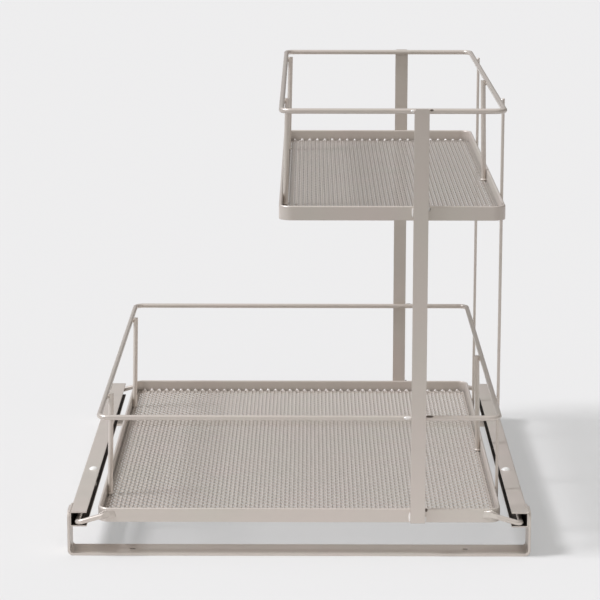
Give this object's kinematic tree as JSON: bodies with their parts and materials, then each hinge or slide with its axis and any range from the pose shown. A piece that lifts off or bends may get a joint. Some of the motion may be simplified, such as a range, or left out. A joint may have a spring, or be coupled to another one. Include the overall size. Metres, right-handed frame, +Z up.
{
  "type": "pull out cabinet basket",
  "caption": "Pull out cabinet basket: a wide lower and a narrow upper mesh tray with rod guard rails, sliding forward on rods in a low screwed down channel frame.",
  "frame": {"origin": "centre of the footprint, on the cabinet floor", "axes": "+X to the right seen from the front, +Y towards the back of the cabinet, +Z up; the basket pulls out along -Y"},
  "size_m": [0.368, 0.4436, 0.3577],
  "materials": {
    "base_metal": "satin nickel coloured coating",
    "basket_metal": "satin nickel coloured coating",
    "nylon": "smooth moulded white nylon"
  },
  "bodies": {
    "base": {"left_channel": "base_metal", "right_channel": "base_metal", "front_strap": "base_metal", "rear_strap": "base_metal", "left_glide": "nylon", "right_glide": "nylon"},
    "basket": {"left_runner": "basket_metal", "right_runner": "basket_metal", "lower_rim": "basket_metal", "lower_mesh": "basket_metal", "lower_rail": "basket_metal", "lower_front_left_post": "basket_metal", "lower_rear_left_post": "basket_metal", "lower_right_post": "basket_metal", "front_bar": "basket_metal", "rear_bar": "basket_metal", "upper_rim": "basket_metal", "upper_mesh": "basket_metal", "upper_rail": "basket_metal", "upper_front_left_post": "basket_metal", "upper_rear_left_post": "basket_metal", "upper_right_post": "basket_metal", "front_side_wire": "basket_metal", "rear_side_wire": "basket_metal"}
  },
  "joints": [
    {"name": "basket_slide", "type": "slide", "parent": "base", "child": "basket", "axis": [0, -1, 0], "range_m": [0, 0.3]}
  ]
}
